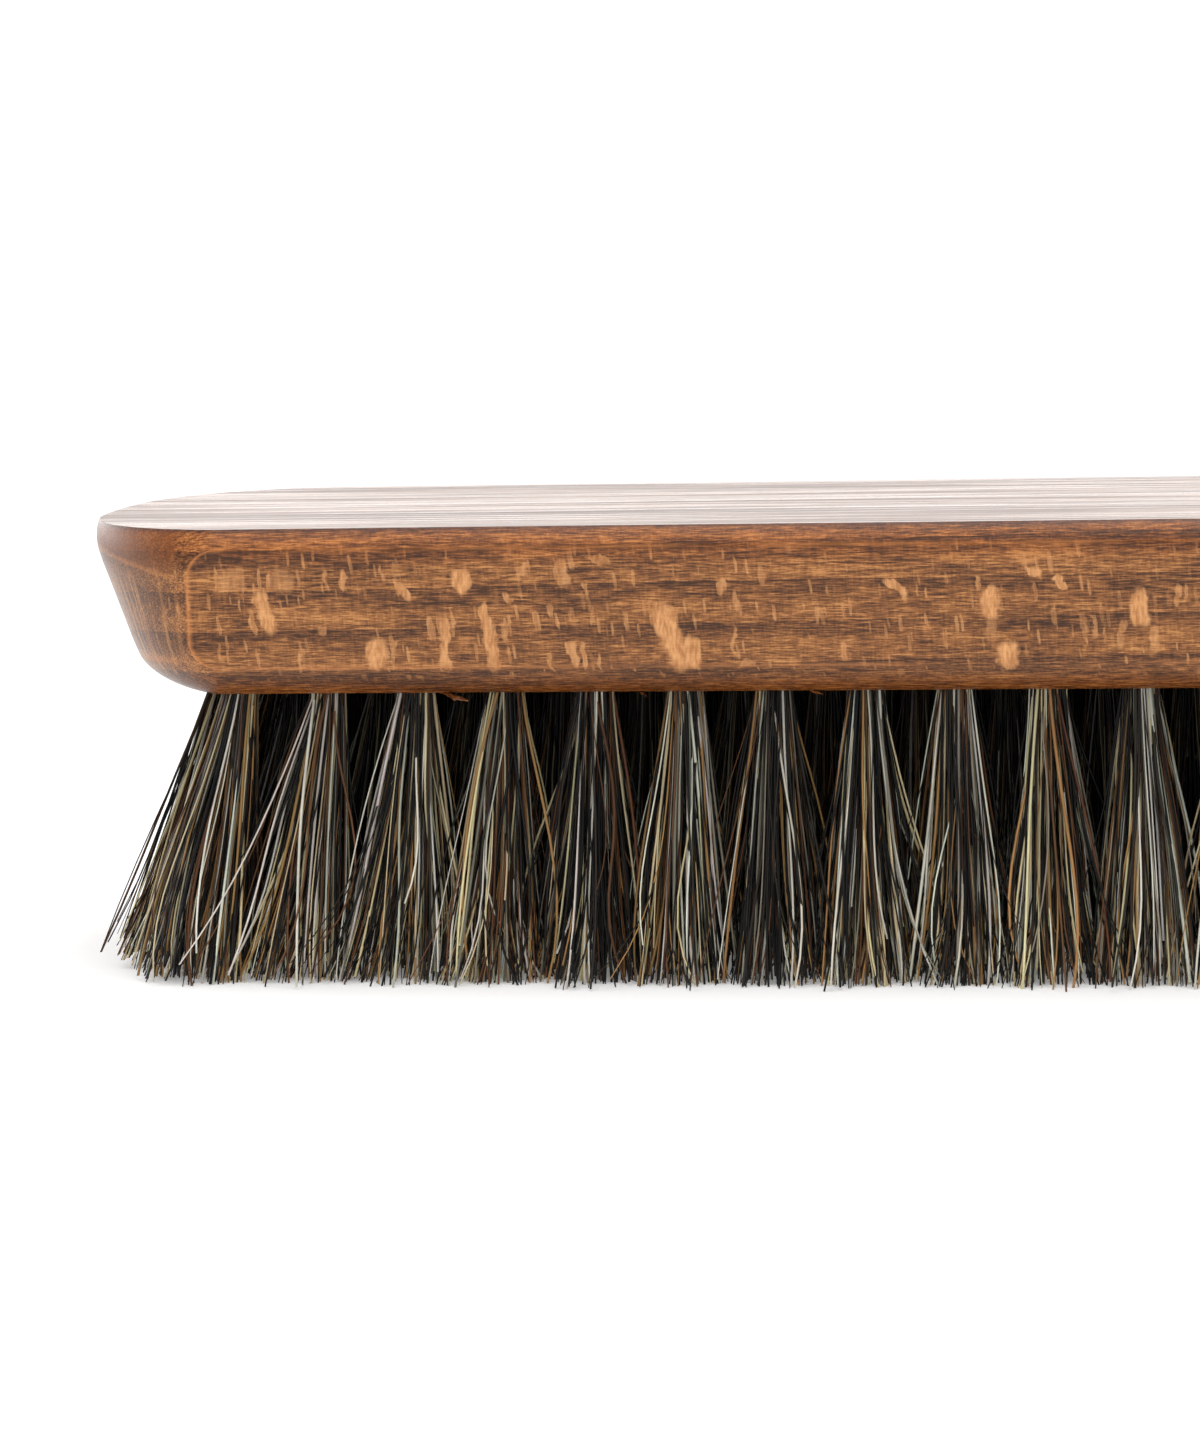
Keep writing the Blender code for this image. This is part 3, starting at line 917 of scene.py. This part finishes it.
def hair_tuft(rng, root, tip_x, tip_y, count, rings, radius, roots, unruly):
    """One tuft: the points of each hair from its fold to its tip, and its radii and colours there, with
    painted shade.
    """
    off, lock = hair_roots(rng, count)
    start = np.array(root) + off
    tip, tip_z, wavy = hair_tips(rng, start, off, lock, tip_x, tip_y, unruly)
    below = hair_curves(rng, start, tip, tip_z, lock, wavy, rings, unruly)
    fold = np.column_stack([np.array(root) + off / 2, np.full(count, FOLD_HEIGHT)])
    points = np.concatenate([fold[:, None], below], axis=1)
    radii, tones = hair_looks(rng, count, rings, radius, roots)
    return points, radii, tones


def hair_uvs(count, rings, sides):
    """A UV place for each corner of the hairs' faces. Every hair has its own cell in a square grid."""
    column = np.arange(sides)
    corner_u = np.stack([column + 1, column, column, column + 1], axis=-1) / sides
    row = np.arange(rings - 1)[:, None, None]
    corner_v = (row + np.array([0, 0, 1, 1])) / (rings - 1)
    quad_uv = np.stack(np.broadcast_arrays(corner_u[None], corner_v), axis=-1).reshape(-1, 2)
    cap_uv = np.concatenate([np.column_stack([column / sides, np.full(sides, v)]) for v in CAP_ROWS])
    cell_uv = UV_MARGIN + (1 - 2 * UV_MARGIN) * np.concatenate([quad_uv, cap_uv])
    wide = math.ceil(math.sqrt(count))
    cell = np.column_stack([np.arange(count) % wide, np.arange(count) // wide])
    return (cell[:, None] + cell_uv) / wide


def hair_mesh(name, tufts, sides):
    """One closed, tapered tube for each hair, with its tone and painted shade."""
    points, radii, tones = [np.concatenate(parts) for parts in zip(*tufts)]
    count, rings = radii.shape
    angles = 2 * np.pi * np.arange(sides) / sides
    circle = np.column_stack([np.cos(angles), np.sin(angles), np.zeros(sides)])
    vertices = points[:, :, None] + radii[:, :, None, None] * circle

    ring = np.arange(sides)
    following = (ring + 1) % sides
    level = np.arange(rings - 1)[:, None] * sides
    quads = np.stack([level + following, level + ring, level + sides + ring, level + sides + following], -1)
    quads = quads.reshape(-1, 4)
    caps = np.stack([ring, (rings - 1) * sides + ring[::-1]])
    base = (np.arange(count) * rings * sides)[:, None]
    loops = base + np.concatenate([quads.ravel(), caps.ravel()])
    sizes = np.tile(np.concatenate([np.full(len(quads), 4), np.full(2, sides)]), count)

    mesh = bpy.data.meshes.new(name)
    mesh.vertices.add(count * rings * sides)
    mesh.vertices.foreach_set("co", vertices.astype(np.float32).ravel())
    mesh.loops.add(loops.size)
    mesh.loops.foreach_set("vertex_index", loops.astype(np.int32).ravel())
    mesh.polygons.add(len(sizes))
    starts = np.concatenate([[0], np.cumsum(sizes)[:-1]])
    mesh.polygons.foreach_set("loop_start", starts.astype(np.int32))
    mesh.update(calc_edges=True)
    mesh.validate()

    tone = mesh.attributes.new("tone", "FLOAT_COLOR", "POINT")
    each = np.concatenate([tones, np.ones((count, rings, 1))], axis=2)
    tone.data.foreach_set("color", np.repeat(each.reshape(-1, 4), sides, axis=0).astype(np.float32).ravel())
    uvs = hair_uvs(count, rings, sides)
    mesh.uv_layers.new(name="OFBake").data.foreach_set("uv", uvs.astype(np.float32).ravel())

    item = bpy.data.objects.new(name, mesh)
    bpy.context.scene.collection.objects.link(item)
    mesh.shade_smooth()
    return item


def tip_borders(places):
    """Where a row's tufts meet along X at their tips. The tufts near each end lean outwards."""
    xs = [x for x, _ in places]
    half_pitch = (xs[2] - xs[1]) / 2
    outermost = ROWS[-1][0][0][1]
    end_lean = END_LEAN * (1.0 - OUTER_ROW_LEAN_LOSS * (places[0][1] / outermost) ** 2)
    borders = [xs[0] - half_pitch] + [x + half_pitch for x in xs]
    last = len(borders) - 1
    limit = HALF_LENGTH - MM
    leans = [end_lean * (LEAN_FADE ** (last - index) - LEAN_FADE ** index) for index in range(last + 1)]
    return [max(-limit, min(limit, border + lean)) for border, lean in zip(borders, leans)]


def make_hair(material):
    """The outer rows get a piece for each tuft, and the inner rows one for each row, as the CAD nodes do."""
    rng = np.random.default_rng(HAIR_SEED)
    spacing = ROWS[1][0][0][1] - ROWS[0][0][0][1]
    last_row = len(ROWS) - 1
    for number, row in enumerate(ROWS):
        places = [place for place, _ in row]
        borders = tip_borders(places)
        y = places[0][1]
        front = -HALF_WIDTH if number == 0 else y - spacing / 2
        rear = HALF_WIDTH if number == last_row else y + spacing / 2
        outer = number in (0, last_row)
        count, rings, sides, radius = OUTER_HAIR if outer else INNER_HAIR
        nodes = {}
        for index, (place, node) in enumerate(row):
            at_end = index in (0, len(row) - 1)
            hairs = count + (END_TUFT_EXTRA if at_end else 0)
            # Painted shade near the roots: light in the outer rows and the end tufts, deep in the inner rows
            roots = LIGHT_ROOT_SHADE if outer or at_end else DEEP_ROOT_SHADE
            unruly = END_UNRULY if at_end else 1.0
            tip_x = (borders[index], borders[index + 1])
            tuft = hair_tuft(rng, place, tip_x, (front, rear), hairs, rings, radius, roots, unruly)
            nodes.setdefault(node, []).append(tuft)
        for node, tufts in nodes.items():
            piece = hair_mesh("hair_" + node, tufts, sides)
            piece.data.materials.append(material)
            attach(piece, "root")
            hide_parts(node)


# Anchors and splinters

ANCHOR_HALF_SIZE = (2.40 * MM, 0.55 * MM, 0.22 * MM)
ANCHOR_CLEARANCE = 0.9 * MM
ANCHOR_BEVEL = 0.12 * MM
ANCHOR_BEVEL_STEPS = 2
ANCHOR_SHARP_ANGLE = 40

# Splinters under the front edge: start along x, length, how far they hang down, thickness
SPLINTERS = (
    (-62.4 * MM, 2.8 * MM, 0.75 * MM, 0.40 * MM),
    (-43.3 * MM, 1.1 * MM, 0.50 * MM, 0.16 * MM),
    (-27.0 * MM, 1.6 * MM, 0.25 * MM, 0.22 * MM),
    (18.0 * MM, 1.4 * MM, 0.40 * MM, 0.18 * MM),
    (53.0 * MM, 2.0 * MM, 0.45 * MM, 0.25 * MM),
)
SPLINTER_Y = -HALF_WIDTH + SIDE_HEEL_INSET - PLANED_OFF_HEEL - 0.1 * MM
SPLINTER_RINGS = 9
SPLINTER_SIDES = 6
SPLINTER_ROOT = 0.25 * MM
SPLINTER_DRIFT = 0.25 * MM
SPLINTER_DROP_POWER = 0.8
SPLINTER_WANDER = 0.05 * MM
SPLINTER_SWELL = (0.45, 0.55, 0.35)
SPLINTER_CORNERS = (0.7, 1.2)
SPLINTER_FLATNESS = 0.6
SPLINTER_SEED = 3
SPLINTER_SHARP_ANGLE = 35


def make_anchors(material):
    """A flat bit of wire across the end of each hole, with its tuft folded over it."""
    half_x, half_y, half_z = ANCHOR_HALF_SIZE
    middle = UNDERSIDE + HOLE_DEPTH - ANCHOR_CLEARANCE
    corners = [(-half_x, -half_y), (half_x, -half_y), (half_x, half_y), (-half_x, half_y)]
    vertices = []
    faces = []
    for row in ROWS:
        for (x, y), _ in row:
            faces += tube_faces(len(vertices), 2, 4)
            for z in (middle - half_z, middle + half_z):
                vertices += [(x + a, y + b, z) for a, b in corners]
    anchors = new_object("tuft_anchors", vertices, faces)
    rounded = anchors.modifiers.new("rounded", "BEVEL")
    rounded.width = ANCHOR_BEVEL
    rounded.segments = ANCHOR_BEVEL_STEPS
    smooth(anchors, ANCHOR_SHARP_ANGLE)
    anchors.data.materials.append(material)
    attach(anchors, "root")


def make_splinters(material):
    """Slivers of wood that the drill and plane left hanging from the front edge of the underside."""
    rng = np.random.default_rng(SPLINTER_SEED)
    least, more, uneven = SPLINTER_SWELL
    vertices = []
    faces = []
    for x, length, drop, thick in SPLINTERS:
        faces += tube_faces(len(vertices), SPLINTER_RINGS, SPLINTER_SIDES)
        for step in range(SPLINTER_RINGS):
            share = step / (SPLINTER_RINGS - 1)
            fall = (drop + SPLINTER_ROOT) * share ** SPLINTER_DROP_POWER
            centre = np.array([x + length * share, SPLINTER_Y - SPLINTER_DRIFT * share,
                               UNDERSIDE + SPLINTER_ROOT - fall])
            centre[1:] += rng.normal(0.0, SPLINTER_WANDER, 2)
            belly = math.sin(math.pi * min(1.0, 0.1 + share))
            swell = thick * (least + more * belly + uneven * rng.random())
            for side in range(SPLINTER_SIDES):
                turn = 2 * math.pi * side / SPLINTER_SIDES
                reach = swell * rng.uniform(*SPLINTER_CORNERS)
                off = (0.0, reach * math.cos(turn), SPLINTER_FLATNESS * reach * math.sin(turn))
                vertices.append(centre + off)
    splinters = new_object("splinters", vertices, faces)
    smooth(splinters, SPLINTER_SHARP_ANGLE)
    splinters.data.materials.append(material)
    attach(splinters, "root")


# Studio

# Light of the room and of its bright wall, and the directions along Y and Z where the wall fades
ROOM_LIGHT = 0.65
WALL_LIGHT = 2.15
WALL_SIDES = (-0.3, 0.7)
WALL_TOP = (0.60, 0.20)

# Softboxes: place, the point that each faces, size, power in watts
SIDE_BOX = ((-0.5, -0.7, 0.9), (0.0, 0.0, 0.02), (0.6, 0.6), 0.8)
TOP_BOX = ((0.03, -0.25, 0.95), (0.03, 0.0, 0.02), (0.54, 0.90), 5.0)

# Paper: its linear colours, its glow near the brush and far away, and where it rises between them
PAPER_HALF_SIZE = 30.0
PAPER_CYCLES = (300.0, 300.0, 300.0)
PAPER_COLORS = ((0.93, 0.93, 0.93), (0.95, 0.95, 0.95))
PAPER_ROUGHNESS = 0.9
PAPER_GLOW = (0.17, 0.27)
GLOW_RISE = (0.3, 1.2)

# Camera: its place beyond the block's front top edge, its turns in degrees, and its lens
CAMERA_PLACE = (0.05414, -HALF_WIDTH - 0.5440, TOP + 0.04484)
CAMERA_TURN = 10.474
CAMERA_TILT = 6.520
CAMERA_ROLL = 1.508
CAMERA_LENS = 147.0
SENSOR_WIDTH = 36.0
CLIP = (0.01, 50.0)


def make_floor():
    """White paper. Its glow rises away from the brush, where the photo's background is pure white."""
    size = PAPER_HALF_SIZE
    corners = [(-size, -size, 0), (size, -size, 0), (size, size, 0), (-size, size, 0)]
    floor = new_object("floor", corners, [(0, 1, 2, 3)])
    white = Shader("white_paper")
    place = white.node("TexCoord", output=3)
    color = white.mix(white.noise(white.scaled(place, PAPER_CYCLES)), *PAPER_COLORS)
    away = white.step(white.vector_math("LENGTH", place, output="Value"), *GLOW_RISE)
    glow = white.between(away, *PAPER_GLOW)
    white.feed_surface(Base_Color=color, Roughness=PAPER_ROUGHNESS, Specular_IOR_Level=0.0,
                       Emission_Color=(1.0, 1.0, 1.0, 1.0), Emission_Strength=glow)
    floor.data.materials.append(white.material)


def make_softbox(name, place, target, size, power):
    data = bpy.data.lights.new(name, "AREA")
    data.shape = "RECTANGLE"
    data.size, data.size_y = size
    data.energy = power
    item = bpy.data.objects.new(name, data)
    bpy.context.scene.collection.objects.link(item)
    item.rotation_euler = (Vector(target) - Vector(place)).to_track_quat("-Z", "Y").to_euler()
    item.location = place


def make_studio():
    """A white room with a softbox at the side and one above. Its wall behind the brush is the brightest."""
    world = bpy.data.worlds.new("white_room")
    bpy.context.scene.world = world
    world.use_nodes = True
    room = Nodes(world.node_tree)
    _, y, z = room.separate(room.node("TexCoord"))
    wall = room.product(room.step(y, *WALL_SIDES), room.step(z, *WALL_TOP))
    background = world.node_tree.nodes["Background"]
    background.inputs["Color"].default_value = (1.0, 1.0, 1.0, 1.0)
    room.feed(background.inputs["Strength"], room.math("MULTIPLY_ADD", wall, WALL_LIGHT, ROOM_LIGHT))
    make_softbox("side_softbox", *SIDE_BOX)
    make_softbox("top_softbox", *TOP_BOX)
    bpy.context.scene.view_settings.view_transform = "Standard"


def make_camera():
    """Low over the front of the brush, with its left half in view."""
    data = bpy.data.cameras.new("camera")
    data.sensor_width = SENSOR_WIDTH
    data.lens = CAMERA_LENS
    data.clip_start, data.clip_end = CLIP
    camera = bpy.data.objects.new("camera", data)
    bpy.context.scene.collection.objects.link(camera)
    turn = Matrix.Rotation(math.radians(CAMERA_TURN), 4, "Z")
    tilt = Matrix.Rotation(math.radians(90.0 - CAMERA_TILT), 4, "X")
    roll = Matrix.Rotation(math.radians(-CAMERA_ROLL), 4, "Z")
    camera.matrix_world = Matrix.Translation(CAMERA_PLACE) @ turn @ tilt @ roll
    bpy.context.scene.camera = camera


def main():
    make_camera()
    make_studio()
    make_floor()

    beech = wood_material()
    block = make_block()
    drill(block)
    finish_block(block, beech)
    make_splinters(beech)
    make_anchors(steel_material())
    make_hair(hair_material())


main()
